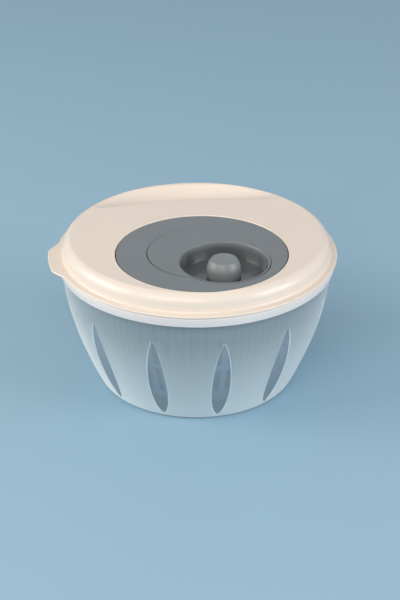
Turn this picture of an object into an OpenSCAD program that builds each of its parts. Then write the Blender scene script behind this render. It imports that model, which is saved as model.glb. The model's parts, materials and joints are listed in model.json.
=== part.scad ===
// Salad spinner with an off-centre hand rotor.
// The rotor carries an internal ring gear that drives a pinion on the bowl's axis three times as fast.
// Millimetres. +Z is up. The origin is on the bowl's axis, in the plane that the bowl stands on.
// The lid's line of symmetry is the Y axis: the rotor lies towards -Y and the finger scoop towards +Y.

/* [Bowl] */
// Outer radius of the bowl's wall just below its rim
bowl_r = 119.8; // [90:0.1:150]
// Outer radius that the wall's curve would have at the table
bowl_base_r = 88.5; // [60:0.1:110]
// Height of the wall up to the lower edge of the rim's band
bowl_wall_h = 110.7; // [100:0.1:160]
// How strongly the wall bulges: 1 is a straight cone
bowl_curve = 1.7; // [1.2:0.05:2.4]
// Wall thickness of the bowl
bowl_wall = 2.2; // [1.6:0.1:3]
// Floor thickness of the bowl
bowl_floor = 2.6; // [2:0.1:4]
// Rounding between the floor and the wall
bowl_round = 7; // [4:0.5:14]
// Height of the turned-down band round the rim
band_h = 9; // [8:0.1:18]
// How far the band's lower edge stands out from the wall
band_low_out = 2.7; // [2.2:0.1:5]
// How far the band's upper edge stands out from the wall
band_top_out = 4.5; // [4:0.1:8]
// Thickness of the band and of the web that joins it to the wall
band_t = 1.6; // [1.2:0.1:2.5]

/* [Bowl windows] */
// Number of clear lens-shaped windows
window_count = 12; // [6:1:16]
// Lowest point of a window above the table
window_low = 5; // [3:0.5:20]
// Height of a window
window_h = 87; // [50:1:95]
// Greatest width of a window
window_w = 16; // [8:0.5:24]
// How deep a window is sunk into the wall
window_deep = 0.5; // [0.2:0.1:1]
// Angle of the first window from the -Y direction
window_turn = 4; // [0:1:30]

/* [Basket] */
// Height of the basket's underside above the table
basket_z = 10.7; // [8:0.1:20]
// How far the basket's rim lies below the lower edge of the bowl's band
basket_drop = 9.7; // [7:0.1:20]
// Radial gap between the basket and the bowl at the basket's rim
basket_gap = 8; // [5:0.1:14]
// Outer radius that the basket's wall would have at its underside
basket_base_r = 80; // [50:0.5:84]
// Wall and floor thickness of the basket
basket_wall = 2; // [1.5:0.1:3]
// Rounding between the basket's floor and wall
basket_round = 8; // [4:0.5:14]
// Number of slots round the basket
slot_count = 60; // [24:1:72]
// Width of a slot
slot_w = 5; // [3:0.1:6]
// Width of the bead round the basket's rim
bead_w = 2.2; // [1:0.1:3]
// Height of the bead round the basket's rim
bead_h = 3; // [2:0.1:5]

/* [Lid] */
// How far the lid's flange stands out past the bowl's band
flange_out = 0.7; // [0:0.1:3]
// Thickness of the flange
flange_t = 2; // [1.6:0.1:3]
// Wall thickness of the lid
lid_wall = 2; // [1.6:0.1:3]
// Height of the lid's plateau above its flange's underside
lid_rise = 16.9; // [14:0.1:24]
// Radius of the round shoulder between the lid's side and its ridge
shoulder_r = 10; // [6:0.5:12]
// How far the ridge stands above the plateau
ridge_h = 1.3; // [0.5:0.1:2.5]
// Depth of the skirt that locates the lid in the bowl
skirt_h = 7; // [4:0.5:12]
// Radial clearance between the skirt and the bowl
skirt_gap = 0.4; // [0.3:0.05:1]
// How far the pull tab stands out past the flange
tab_out = 7; // [4:0.5:14]
// Angle from the tab's middle to where its shoulders end
tab_half = 17; // [10:0.5:25]
// Angle of the tab from the -Y direction
tab_turn = -88; // [-120:1:-60]

/* [Finger scoop] */
// Radius of the scoop's cross-section
scoop_r = 19.6; // [14:0.2:24]
// Depth of the scoop below the plateau
scoop_deep = 9; // [5:0.5:10]
// Distance of the scoop's middle from the lid's axis
scoop_y = 91.5; // [80:0.5:96]
// Radius of the curve that the scoop follows
scoop_bend = 166; // [140:1:220]
// Tilt that makes the scoop shallower towards its tips
scoop_tilt = 25; // [15:0.5:35]

/* [Rotor] */
// Outer radius of the rotor
rotor_r = 74.5; // [66:0.5:76]
// Gap round the rotor, to the edge of the lid's opening
rotor_gap = 0.7; // [0.4:0.1:1.5]
// How far the rotor's face lies below the plateau
rotor_sunk = 0.1; // [0:0.1:1]
// Wall thickness of the rotor and of its inlay
rotor_wall = 2; // [1.5:0.1:3]
// Radius of the inlay set into the rotor's face
inlay_r = 47.3; // [40:0.1:54]
// Fit gap between the inlay and the rotor
inlay_gap = 0.3; // [0.2:0.05:0.6]
// Chamfer on both edges of the joint round the inlay
inlay_chamfer = 0.8; // [0.2:0.1:0.9]
// Radius of the finger pocket at its mouth
pocket_r = 38; // [30:0.5:42]
// Depth of the finger pocket
pocket_deep = 15; // [10:0.5:17]
// How much narrower the pocket is at its floor
pocket_draft = 2; // [0.5:0.1:4]
// Distance of the pocket's middle from the rotor's axis
pocket_out = 25.5; // [18:0.5:30]
// Direction of the pocket from the +X direction, at rest
rotor_turn = -50; // [-180:1:180]

/* [Knob] */
// Radius of the knob's body
knob_r = 14.8; // [12:0.1:18]
// Radius of the knob's flat top
knob_top_r = 11.6; // [9:0.1:14]
// How far the knob's top stands above the rotor's face
knob_proud = 2; // [0:0.5:10]
// Radius of the post that the knob turns on
knob_post_r = 5; // [4:0.1:6]

/* [Gears] */
// Gear module
gear_module = 1.5; // [1:0.25:1.5]
// Teeth on the rotor's ring gear
ring_teeth = 72; // [60:6:72]
// Teeth on the pinion
pinion_teeth = 24; // [18:6:24]
// Width of the gears' faces
gear_w = 8; // [5:0.5:9]
// Play between the teeth, along the pitch circle
backlash = 0.3; // [0.15:0.05:0.5]
// Thickness of the ring gear outside its teeth
ring_back = 4.5; // [3:0.5:6]

/* [Shafts and screws] */
// Radius of the lid's post at the rotor's axis
post_r = 8; // [6:0.5:9]
// Thickness of the sleeve on that post
bush_t = 2; // [1:0.1:3]
// Radius of the pinion's shaft
shaft_r = 5; // [4:0.1:6]
// Length of the bearing in the lid for the pinion's shaft
bearing_h = 9; // [6:0.5:12]
// Radius of the pin that the basket turns on
pin_r = 3; // [2:0.1:4]
// Radial clearance of every running fit
run_fit = 0.06; // [0.03:0.01:0.1]
// Gap between parts that pass each other
play = 0.3; // [0.2:0.05:0.6]
// Thread radius of the screws
screw_r = 1.5; // [1.25:0.05:2]

/* [Hidden] */
$fn = 120;
over = 1;
pressure_angle = 20;
washer_t = 0.8;
head_r = 2 * screw_r;
head_h = 1.4 * screw_r;
head_gap = 0.5;
tub_floor_t = 1.3;
thread_fit = 0.05;
screw_pass_r = screw_r + 0.2;
end_play = 0.2;
weld = 0.5;
steel = [0.75, 0.76, 0.78];
acetal = [0.93, 0.93, 0.9];

// Heights, from the table up
basket_top = bowl_wall_h - basket_drop;
rim_top = bowl_wall_h + band_h;
flange_z = rim_top + play;
plateau_z = flange_z + lid_rise;
face_z = plateau_z - rotor_sunk;
pocket_z = face_z - pocket_deep;
rotor_plate_top = pocket_z - rotor_wall - 0.1;
rotor_plate_z = pocket_z - tub_floor_t - head_gap - head_h - washer_t - end_play;
gear_z = rotor_plate_z - gear_w - 1;
well_floor_top = gear_z - washer_t - 0.2;
well_floor_z = well_floor_top - lid_wall;
bearing_z = well_floor_top - bearing_h;
drive_hub_top = bearing_z - play;
drive_plate_z = basket_top - 3 * basket_wall;
drive_hub_h = 10;
drive_hub_z = drive_hub_top - drive_hub_h;
post_top = rotor_plate_z + end_play;
knob_low = pocket_z + play;
knob_high = face_z + knob_proud;
cap_t = 1.5;
knob_shoulder = knob_high - cap_t - head_h - washer_t - 1.5;
knob_post_top = knob_shoulder + end_play;

// Radii
band_low_r = bowl_r + band_low_out;
band_top_r = bowl_r + band_top_out;
flange_r = band_top_r + flange_out;
skirt_r = bowl_r - bowl_wall - skirt_gap;
side_r = skirt_r + 1.3;
shoulder_x = side_r - shoulder_r;
shoulder_z = plateau_z + ridge_h - shoulder_r;
opening_r = rotor_r + rotor_gap;
well_r = opening_r + lid_wall;
ledge_in = rotor_r - 3.3;
ledge_z = rotor_plate_z - 2;
bush_r = post_r + bush_t;
hub_r = bush_r + 3.8;
plate_hole_r = hub_r - 2.1;
screw_post_r = 2.6 * screw_r;
screw_post_h = 5;
ring_flange_t = 2.4;
leg_angles = [125, 180, 235];
basket_r = bowl_r - bowl_wall - basket_gap;

// Gears: the rotor's axis is one centre distance from the lid's axis
ring_pitch_r = gear_module * ring_teeth / 2;
pinion_pitch_r = gear_module * pinion_teeth / 2;
rotor_y = -(ring_pitch_r - pinion_pitch_r);
ring_root_r = ring_pitch_r + 1.25 * gear_module;
ring_out_r = ring_root_r + ring_back;
ring_flange_r = ring_out_r + 7;
ring_screw_r = ring_out_r + 3.5;
ring_screw_count = 3;

// Basket drive
hex_r = shaft_r;
bearing_r = shaft_r + run_fit + 2.5;
spindle_hex_r = 9;
spindle_flange_r = 12;
spindle_flange_t = 2;
spindle_z = bowl_floor + 5.6;
spindle_top = spindle_z + 12.6;
boss_r = 8;
pin_low = bowl_floor + 0.4;
pin_top = spindle_top - 3;
lug_count = 6;
lug_w = 10;
lug_h = 3;
drive_r = basket_r - basket_wall - 1;

// The radius of a bulging wall at a height above its base
function bulge(z, base_r, top_r, height, curve) = base_r + (top_r - base_r) * (1 - pow(1 - z / height, curve));

// The lean of a bulging wall near its base, in degrees from upright
function lean(base_r, top_r, height, curve) = atan((top_r - base_r) * curve / height * 0.96);

// Points along an arc, from one angle to another
function arc(x, y, r, from, to, steps) = [
  for (i = [0:steps]) let (a = from + (to - from) * i / steps) [x + r * cos(a), y + r * sin(a)]
];

function bowl_out(z) = bulge(z, bowl_base_r, bowl_r, bowl_wall_h, bowl_curve);
function basket_out(z) = bulge(z - basket_z, basket_base_r, basket_r, basket_top - basket_z, bowl_curve);

// Half the angle of a gear tooth at a radius, for an involute flank
function inv(a) = tan(a) * 180 / PI - a;
function half_tooth(r, teeth, pitch_r, extra) =
  90 / teeth + extra / pitch_r * 45 / PI + inv(pressure_angle) - inv(acos(pitch_r * cos(pressure_angle) / r));

// Outline of a gear: the extra thickness widens or thins every tooth
function gear_outline(teeth, pitch_r, low_r, high_r, extra) =
  let (start_r = max(low_r, pitch_r * cos(pressure_angle) + 0.001), steps = 4)
  [for (i = [0:teeth - 1]) let (mid = 360 * i / teeth, foot = half_tooth(start_r, teeth, pitch_r, extra))
    each concat(
      [[low_r * cos(mid - foot), low_r * sin(mid - foot)]],
      [for (k = [0:steps]) let (r = start_r + (high_r - start_r) * k / steps,
        a = mid - half_tooth(r, teeth, pitch_r, extra)) [r * cos(a), r * sin(a)]],
      [for (k = [steps:-1:0]) let (r = start_r + (high_r - start_r) * k / steps,
        a = mid + half_tooth(r, teeth, pitch_r, extra)) [r * cos(a), r * sin(a)]],
      [[low_r * cos(mid + foot), low_r * sin(mid + foot)]]
    )
  ];

module at_rotor() {
  translate([0, rotor_y, 0]) rotate(rotor_turn) children();
}

module at_pocket() {
  at_rotor() translate([pocket_out, 0, 0]) children();
}

// A round tube or disc that stands on a height
module ring(r_out, r_in, low, high) {
  translate([0, 0, low]) difference() {
    cylinder(r = r_out, h = high - low);
    if (r_in > 0) translate([0, 0, -over]) cylinder(r = r_in, h = high - low + 2 * over);
  }
}

// A cross-recessed pan-head screw that points down from the underside of its head
module screw(length) {
  difference() {
    union() {
      translate([0, 0, -length]) cylinder(r = screw_r, h = length + 0.1);
      cylinder(r = head_r, h = head_h);
    }
    for (turn = [0, 90]) {
      rotate(turn) translate([-0.6 * head_r, -0.35, head_h * 0.4]) cube([1.2 * head_r, 0.7, head_h]);
    }
  }
}

module bowl_section() {
  slope = lean(bowl_base_r, bowl_r, bowl_wall_h, bowl_curve);
  arc_z = bowl_round * (1 - sin(slope));
  arc_x = bowl_out(arc_z) - bowl_round * cos(slope);
  steps = 16;
  in_low = bowl_round + over;
  polygon(concat(
    [[0, 0]],
    arc(arc_x, bowl_round, bowl_round, -90, -slope, 6),
    [for (i = [1:steps]) let (z = arc_z + (bowl_wall_h - arc_z) * i / steps) [bowl_out(z), z]],
    [
      [bowl_r, rim_top - band_t],
      [band_top_r - band_t, rim_top - band_t],
      [band_low_r - band_t, bowl_wall_h],
      [band_low_r, bowl_wall_h],
      [band_top_r, rim_top],
      [bowl_r - bowl_wall, rim_top]
    ],
    [for (i = [steps:-1:0]) let (z = in_low + (bowl_wall_h - in_low) * i / steps) [bowl_out(z) - bowl_wall, z]],
    arc(arc_x, bowl_round, bowl_round - bowl_floor, -slope, -90, 5),
    [[0, bowl_floor]]
  ));
}

// The skin of the wall that the windows are sunk into
module window_skin() {
  steps = 8;
  low = window_low - over;
  high = window_low + window_h + over;
  rotate_extrude() polygon(concat(
    [for (i = [0:steps]) let (z = low + (high - low) * i / steps) [bowl_out(z) - window_deep, z]],
    [for (i = [steps:-1:0]) let (z = low + (high - low) * i / steps) [bowl_out(z) + 2 * over, z]]
  ));
}

// The lens outline of a window, where two arcs cross
module window_outline() {
  half_h = window_h / 2;
  half_w = window_w / 2;
  lens_r = (half_h * half_h + half_w * half_w) / window_w;
  intersection() {
    translate([lens_r - half_w, 0]) circle(r = lens_r);
    translate([half_w - lens_r, 0]) circle(r = lens_r);
  }
}

module bowl() {
  color([0.72, 0.79, 0.83, 0.6]) difference() {
    union() {
      rotate_extrude() bowl_section();
      ring(boss_r, 0, bowl_floor - weld, spindle_z - play);
    }
    translate([0, 0, pin_low]) cylinder(r = pin_r, h = spindle_z);
    intersection() {
      window_skin();
      for (i = [0:window_count - 1]) {
        rotate(window_turn + i * 360 / window_count)
          translate([0, -bowl_base_r + window_w / 2, window_low + window_h / 2]) rotate([90, 0, 0])
            linear_extrude(height = bowl_r - bowl_base_r + window_w) window_outline();
      }
    }
  }
}

module pivot_pin() {
  round_r = pin_r / 3;
  color(steel) rotate_extrude() polygon(concat(
    [[0, pin_low], [pin_r, pin_low]],
    arc(pin_r - round_r, pin_top - round_r, round_r, 0, 90, 4),
    [[0, pin_top]]
  ));
}

module basket_spindle() {
  color(acetal) difference() {
    union() {
      ring(spindle_flange_r, 0, spindle_z, spindle_z + spindle_flange_t);
      translate([0, 0, spindle_z]) cylinder(r = spindle_hex_r, h = spindle_top - spindle_z, $fn = 6);
    }
    translate([0, 0, spindle_z - over]) cylinder(r = pin_r + run_fit, h = pin_top + play - spindle_z + over);
  }
}

module basket_section() {
  slope = lean(basket_base_r, basket_r, basket_top - basket_z, bowl_curve);
  arc_z = basket_z + basket_round * (1 - sin(slope));
  arc_x = basket_out(arc_z) - basket_round * cos(slope);
  centre_z = basket_z + basket_round;
  steps = 12;
  in_low = centre_z + over;
  polygon(concat(
    [[0, basket_z]],
    arc(arc_x, centre_z, basket_round, -90, -slope, 5),
    [for (i = [1:steps]) let (z = arc_z + (basket_top - bead_h - arc_z) * i / steps) [basket_out(z), z]],
    [
      [basket_r + bead_w, basket_top - bead_h],
      [basket_r + bead_w, basket_top],
      [basket_r - basket_wall, basket_top]
    ],
    [for (i = [steps:-1:0]) let (z = in_low + (basket_top - bead_h - in_low) * i / steps)
      [basket_out(z) - basket_wall, z]],
    arc(arc_x, centre_z, basket_round - basket_wall, -slope, -90, 4),
    [[0, basket_z + basket_wall]]
  ));
}

// Two rows of upright slots
module basket_slots() {
  low = basket_z + 2 * basket_round;
  row_gap = 6;
  row_h = (drive_plate_z - 5 - low - row_gap) / 2;
  inner = basket_base_r - basket_wall - over;
  for (row = [0, 1]) {
    for (i = [0:slot_count - 1]) {
      rotate((i + 0.5) * 360 / slot_count)
        translate([inner, -slot_w / 2, low + row * (row_h + row_gap)])
          cube([basket_r + bead_w - inner + over, slot_w, row_h]);
    }
  }
}

module basket_floor_slots() {
  inner = 24;
  outer = basket_base_r - basket_round - 8;
  count = 24;
  width = 4;
  for (i = [0:count - 1]) {
    start = inner + (i % 2) * inner / 2;
    rotate((i + 0.5) * 360 / count) translate([start, -width / 2, basket_z - over])
      cube([outer - start, width, basket_wall + 2 * over]);
  }
}

module basket() {
  socket_fit = 0.4;
  hub_out = spindle_flange_r + 1.5;
  color([0.8, 0.85, 0.87, 0.8]) difference() {
    union() {
      rotate_extrude() basket_section();
      ring(hub_out, 0, basket_z, spindle_top + 3);
    }
    translate([0, 0, basket_z - over])
      cylinder(r = spindle_hex_r + socket_fit, h = spindle_top + play - basket_z + over, $fn = 6);
    translate([0, 0, basket_z - over]) cylinder(r = spindle_flange_r + play, h = over + 0.1);
    basket_slots();
    basket_floor_slots();
    for (i = [0:lug_count - 1]) {
      rotate(i * 360 / lug_count) translate([basket_r - 4 * basket_wall, -lug_w / 2 - 1, drive_plate_z])
        cube([8 * basket_wall, lug_w + 2, basket_top]);
    }
  }
}

module lid_section() {
  inner_r = shoulder_r - lid_wall;
  edge_r = flange_t / 2;
  top_a = 72;
  dish_r = opening_r;
  crest_x = shoulder_x + shoulder_r * cos(top_a);
  crest_z = shoulder_z + shoulder_r * sin(top_a);
  fillet = 2;
  steps = 6;
  polygon(concat(
    [[0, plateau_z], [0, plateau_z - lid_wall], [dish_r, plateau_z - lid_wall]],
    arc(shoulder_x, shoulder_z, inner_r, top_a, 5, 5),
    [
      [skirt_r - lid_wall, flange_z + lid_wall],
      [skirt_r - lid_wall, flange_z - skirt_h],
      [skirt_r, flange_z - skirt_h],
      [skirt_r, flange_z]
    ],
    arc(flange_r - edge_r, flange_z + edge_r, edge_r, -90, 90, 6),
    arc(side_r + fillet + 0.3, flange_z + flange_t + fillet, fillet, -90, -180, 4),
    arc(shoulder_x, shoulder_z, shoulder_r, 0, top_a, 8),
    [for (i = [1:steps]) let (t = i / steps, x = crest_x + (dish_r - crest_x) * t)
      [x, plateau_z + (crest_z - plateau_z) * (1 - t) * (1 - t)]]
  ));
}

// What the lid's skin encloses, which the scoop's own skin stays inside
module lid_envelope() {
  inset = 0.4;
  rotate_extrude() polygon(concat(
    [[0, flange_z], [side_r - inset, flange_z]],
    arc(shoulder_x, shoulder_z, shoulder_r - inset, 0, 80, 6),
    [[shoulder_x - 2 * shoulder_r, plateau_z - inset], [0, plateau_z - inset]]
  ));
}

// A pull tab whose shoulders run smoothly into the flange
module tab_outline() {
  steps = 24;
  polygon(concat(
    [[0, 0]],
    [for (i = [0:steps]) let (
      a = -tab_half + 2 * tab_half * i / steps,
      t = min(1, (tab_half - abs(a)) / (tab_half * 0.55)),
      r = flange_r - 1 + (tab_out + 1) * t * t * (3 - 2 * t)
    ) [r * sin(a), -r * cos(a)]]
  ));
}

module tab() {
  rotate(tab_turn) difference() {
    translate([0, 0, flange_z]) linear_extrude(height = flange_t) tab_outline();
    translate([0, 0, flange_z - over]) cylinder(r = side_r + 2, h = flange_t + 2 * over);
  }
}

// The bent, tilted tube whose lower side forms the scoop
module scoop_tube(r) {
  translate([0, scoop_y, plateau_z + scoop_r - scoop_deep]) rotate([-scoop_tilt, 0, 0])
    translate([0, -scoop_bend, 0]) rotate_extrude() translate([scoop_bend, 0]) circle(r = r);
}

// The stepped well below the opening, round the rotor's axis
module well_section() {
  lip_drop = 0.2;
  polygon([
    [0, well_floor_z],
    [ledge_in + lid_wall, well_floor_z],
    [ledge_in + lid_wall, ledge_z - lid_wall],
    [well_r, ledge_z - lid_wall],
    [well_r, plateau_z - lip_drop],
    [opening_r, plateau_z - lip_drop],
    [opening_r, ledge_z],
    [ledge_in, ledge_z],
    [ledge_in, well_floor_top],
    [0, well_floor_top]
  ]);
}

module lid() {
  lip_r = 0.9;
  color([0.93, 0.88, 0.82]) {
    difference() {
      union() {
        difference() {
          union() {
            rotate_extrude() lid_section();
            intersection() {
              scoop_tube(scoop_r + lid_wall);
              lid_envelope();
            }
          }
          scoop_tube(scoop_r);
          translate([0, rotor_y, flange_z]) cylinder(r = opening_r, h = lid_rise + 2 * ridge_h);
        }
        tab();
        translate([0, rotor_y, 0]) {
          rotate_extrude() well_section();
          rotate_extrude() translate([opening_r + lip_r, plateau_z - 0.5]) circle(r = lip_r);
          ring(post_r, 0, well_floor_top - weld, post_top);
        }
        ring(bearing_r + 2.5, 0, bearing_z, well_floor_z + weld);
      }
      ring(bearing_r, 0, bearing_z - over, well_floor_top + over);
      translate([0, rotor_y, well_floor_top + 2 * over])
        cylinder(r = screw_r + thread_fit, h = rotor_plate_z - well_floor_top);
    }
  }
}

// A low-friction ring that carries the rotor's rim on the ledge of the well
module glide_ring() {
  color(acetal) translate([0, rotor_y, 0])
    ring(opening_r - play, ledge_in + play, ledge_z, rotor_plate_z - 0.1);
}

module rotor_bush() {
  color(acetal) translate([0, rotor_y, 0])
    ring(bush_r, post_r + 0.02, well_floor_top, post_top);
}

module rotor_washer() {
  color(steel) translate([0, rotor_y, 0])
    ring(plate_hole_r - 0.5, screw_pass_r, post_top, post_top + washer_t);
}

module rotor_screw() {
  color(steel) translate([0, rotor_y, post_top + washer_t])
    screw(rotor_plate_z - well_floor_top - 2);
}

// Where the inlay, with its pocket, is let into the rotor's face
module inlay_outline(grow) {
  circle(r = inlay_r + grow);
  translate([pocket_out, 0]) circle(r = pocket_r + rotor_wall + grow);
}

// A ring cutter that bevels the rotor's face round an edge
module edge_bevel(r) {
  rotate_extrude() polygon([
    [r - over, face_z - inlay_chamfer - over],
    [r - over, face_z + over],
    [r + inlay_chamfer + over, face_z + over]
  ]);
}

module rotor_disc() {
  edge = 0.8;
  color([0.5, 0.53, 0.54]) at_rotor() {
    difference() {
      union() {
        rotate_extrude() polygon(concat(
          [
            [plate_hole_r, rotor_plate_z],
            [rotor_r, rotor_plate_z]
          ],
          arc(rotor_r - edge, face_z - edge, edge, 0, 90, 4),
          [
            [0, face_z],
            [0, face_z - rotor_wall],
            [rotor_r - rotor_wall, face_z - rotor_wall],
            [rotor_r - rotor_wall, rotor_plate_top],
            [plate_hole_r, rotor_plate_top]
          ]
        ));
        ring(hub_r, 0, well_floor_top + play, rotor_plate_z);
        for (i = [0:ring_screw_count - 1]) {
          rotate(180 + i * 360 / ring_screw_count) translate([ring_screw_r, 0, 0])
            ring(screw_post_r, 0, rotor_plate_z, rotor_plate_top + screw_post_h);
        }
      }
      translate([0, 0, well_floor_z]) cylinder(r = bush_r + run_fit, h = rotor_plate_z - well_floor_z + over);
      translate([0, 0, face_z - rotor_wall - over])
        linear_extrude(height = rotor_wall + 2 * over) inlay_outline(inlay_gap);
      edge_bevel(inlay_r + inlay_gap);
      translate([pocket_out, 0, 0]) edge_bevel(pocket_r + rotor_wall + inlay_gap);
      for (i = [0:ring_screw_count - 1]) {
        rotate(180 + i * 360 / ring_screw_count)
          translate([ring_screw_r, 0, rotor_plate_z - over])
            cylinder(r = screw_r + thread_fit, h = rotor_plate_top - rotor_plate_z + screw_post_h);
      }
    }
  }
}

module rotor_inlay() {
  rim = 1.3;
  leg_r = 2.5;
  tub_r = pocket_r + rotor_wall;
  color([0.53, 0.56, 0.57]) at_rotor() {
    difference() {
      union() {
        ring(inlay_r, 0, face_z - rotor_wall, face_z);
        translate([pocket_out, 0, 0]) ring(tub_r, 0, pocket_z - rotor_wall, face_z);
        for (a = leg_angles) {
          rotate(a) translate([inlay_r - 2 * leg_r, 0, 0])
            ring(leg_r, 0, rotor_plate_top, face_z - rotor_wall / 2);
        }
      }
      translate([pocket_out, 0, 0]) {
        rotate_extrude() polygon(concat(
          [[0, pocket_z], [pocket_r - pocket_draft, pocket_z]],
          arc(pocket_r + rim, face_z - rim, rim, 180, 90, 4),
          [[pocket_r + rim, face_z + over], [0, face_z + over]]
        ));
      }
      translate([0, 0, rotor_plate_top - over])
        cylinder(r = head_r + 1, h = pocket_z - tub_floor_t - rotor_plate_top + over);
    }
    translate([pocket_out, 0, 0]) difference() {
      ring(knob_post_r, 0, pocket_z - weld, knob_post_top);
      translate([0, 0, pocket_z]) cylinder(r = screw_r + thread_fit, h = knob_shoulder);
    }
  }
}

module ring_gear() {
  color(acetal) translate([0, rotor_y, 0]) difference() {
    union() {
      ring(ring_out_r, 0, gear_z, rotor_plate_z);
      ring(ring_flange_r, 0, rotor_plate_z - ring_flange_t, rotor_plate_z);
    }
    translate([0, 0, gear_z - over]) linear_extrude(height = rotor_plate_z - gear_z + 2 * over)
      polygon(gear_outline(ring_teeth, ring_pitch_r, ring_pitch_r - gear_module, ring_root_r, backlash / 2));
    for (i = [0:ring_screw_count - 1]) {
      rotate(rotor_turn + 180 + i * 360 / ring_screw_count)
        translate([ring_screw_r, 0, rotor_plate_z - ring_flange_t - over])
          cylinder(r = screw_pass_r, h = ring_flange_t + 2 * over);
    }
  }
}

module ring_gear_screws() {
  color(steel) at_rotor() {
    for (i = [0:ring_screw_count - 1]) {
      rotate(180 + i * 360 / ring_screw_count)
        translate([ring_screw_r, 0, rotor_plate_z - ring_flange_t]) rotate([180, 0, 0]) screw(7);
    }
  }
}

module knob() {
  body_top = knob_low + 8;
  bevel = 0.6;
  steps = 8;
  color([0.55, 0.58, 0.59]) at_pocket() difference() {
    rotate_extrude() polygon(concat(
      [[0, knob_low], [knob_r - bevel, knob_low], [knob_r, knob_low + bevel]],
      [for (i = [0:steps])
        let (t = i / steps, r = knob_top_r + (knob_r - knob_top_r) * pow(1 - pow(t, 2.2), 0.9))
        [r, body_top + (knob_high - body_top) * t]],
      [[0, knob_high]]
    ));
    translate([0, 0, knob_low - over]) cylinder(r = knob_post_r + run_fit, h = knob_high);
    translate([0, 0, knob_shoulder]) cylinder(r = knob_post_r + 3, h = knob_high);
    translate([0, 0, knob_high - cap_t]) cylinder(r = knob_top_r - 0.6, h = 2 * cap_t);
  }
}

module knob_cap() {
  dish_r = 60;
  dish_deep = 0.4;
  spigot_h = 2;
  spigot_r = knob_post_r + 2.9;
  color([0.58, 0.61, 0.62]) at_pocket() difference() {
    union() {
      ring(knob_top_r - 0.7, 0, knob_high - cap_t, knob_high);
      ring(spigot_r, spigot_r - 1.3, knob_high - cap_t - spigot_h, knob_high - cap_t + 0.1);
    }
    translate([0, 0, knob_high + dish_r - dish_deep]) sphere(r = dish_r);
  }
}

module knob_washer() {
  color(steel) at_pocket()
    ring(knob_post_r + 2.4, screw_pass_r, knob_post_top, knob_post_top + washer_t);
}

module knob_screw() {
  color(steel) at_pocket()
    translate([0, 0, knob_post_top + washer_t]) screw(knob_shoulder - pocket_z - 1);
}

module pinion() {
  shaft_low = drive_hub_z + 1;
  color(acetal) difference() {
    union() {
      translate([0, 0, gear_z]) linear_extrude(height = gear_w) polygon(gear_outline(pinion_teeth,
        pinion_pitch_r, pinion_pitch_r - 1.25 * gear_module, pinion_pitch_r + gear_module, -backlash / 2));
      ring(shaft_r, 0, drive_hub_top, gear_z + 1);
      translate([0, 0, shaft_low]) cylinder(r = hex_r, h = drive_hub_top - shaft_low + 1, $fn = 6);
    }
    translate([0, 0, shaft_low - over]) cylinder(r = screw_r + thread_fit, h = 13);
  }
}

module pinion_bush() {
  color(acetal)
    ring(bearing_r - 0.02, shaft_r + run_fit, bearing_z, well_floor_top);
}

module pinion_washer() {
  color(steel) ring(pinion_pitch_r / 2, shaft_r + 0.2, well_floor_top, well_floor_top + washer_t);
}

module drive_plate() {
  hub_out = hex_r + 4;
  collar_t = basket_wall;
  spokes = 12;
  slots = [[28, 4, 22], [58, 8, 16], [84, 11, 16]]; // start radius, width, length
  color([0.86, 0.89, 0.9]) difference() {
    union() {
      ring(drive_r, 0, drive_plate_z, drive_plate_z + basket_wall);
      ring(drive_r, drive_r - collar_t, drive_plate_z, basket_top);
      ring(hub_out, 0, drive_hub_z, drive_hub_top);
      for (i = [0:lug_count - 1]) {
        rotate(i * 360 / lug_count) translate([drive_r - collar_t, -lug_w / 2, basket_top - lug_h])
          cube([collar_t + basket_wall + 1.4, lug_w, lug_h]);
      }
    }
    translate([0, 0, drive_hub_z + 1]) cylinder(r = hex_r + 0.1, h = drive_hub_h + over, $fn = 6);
    translate([0, 0, drive_hub_z - over]) cylinder(r = screw_pass_r, h = 3);
    for (i = [0:spokes - 1]) {
      for (slot = slots) {
        rotate((i + 0.5) * 360 / spokes) translate([slot[0], -slot[1] / 2, drive_plate_z - over])
          cube([slot[2], slot[1], basket_wall + 2 * over]);
      }
    }
  }
}

module drive_washer() {
  color(steel) ring(hex_r + 2.5, screw_pass_r, drive_hub_z - washer_t, drive_hub_z);
}

module drive_screw() {
  color(steel) translate([0, 0, drive_hub_z - washer_t]) rotate([180, 0, 0]) screw(12);
}

bowl();
pivot_pin();
basket_spindle();
basket();
lid();
glide_ring();
rotor_bush();
rotor_washer();
rotor_screw();
rotor_disc();
rotor_inlay();
ring_gear();
ring_gear_screws();
knob();
knob_cap();
knob_washer();
knob_screw();
pinion();
pinion_bush();
pinion_washer();
drive_plate();
drive_washer();
drive_screw();
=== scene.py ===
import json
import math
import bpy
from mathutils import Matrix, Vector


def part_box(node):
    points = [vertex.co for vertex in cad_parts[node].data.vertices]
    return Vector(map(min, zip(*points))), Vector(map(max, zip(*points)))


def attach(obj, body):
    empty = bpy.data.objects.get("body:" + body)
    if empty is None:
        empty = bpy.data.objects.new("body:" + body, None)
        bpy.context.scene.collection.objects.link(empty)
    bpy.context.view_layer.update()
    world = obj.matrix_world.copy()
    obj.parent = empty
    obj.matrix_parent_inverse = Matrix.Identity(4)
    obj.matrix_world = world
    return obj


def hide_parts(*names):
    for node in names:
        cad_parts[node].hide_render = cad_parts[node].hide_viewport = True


bl_info = {
    "name": "Salad spinner",
    "version": (1, 0, 0),
    "blender": (4, 5, 0),
    "location": "View3D > Sidebar > Spinner",
    "description": "Builds a salad spinner with an off-centre hand rotor round its packed frame",
    "category": "Add Mesh",
}

import bmesh
import bpy
from mathutils import Vector

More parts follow.
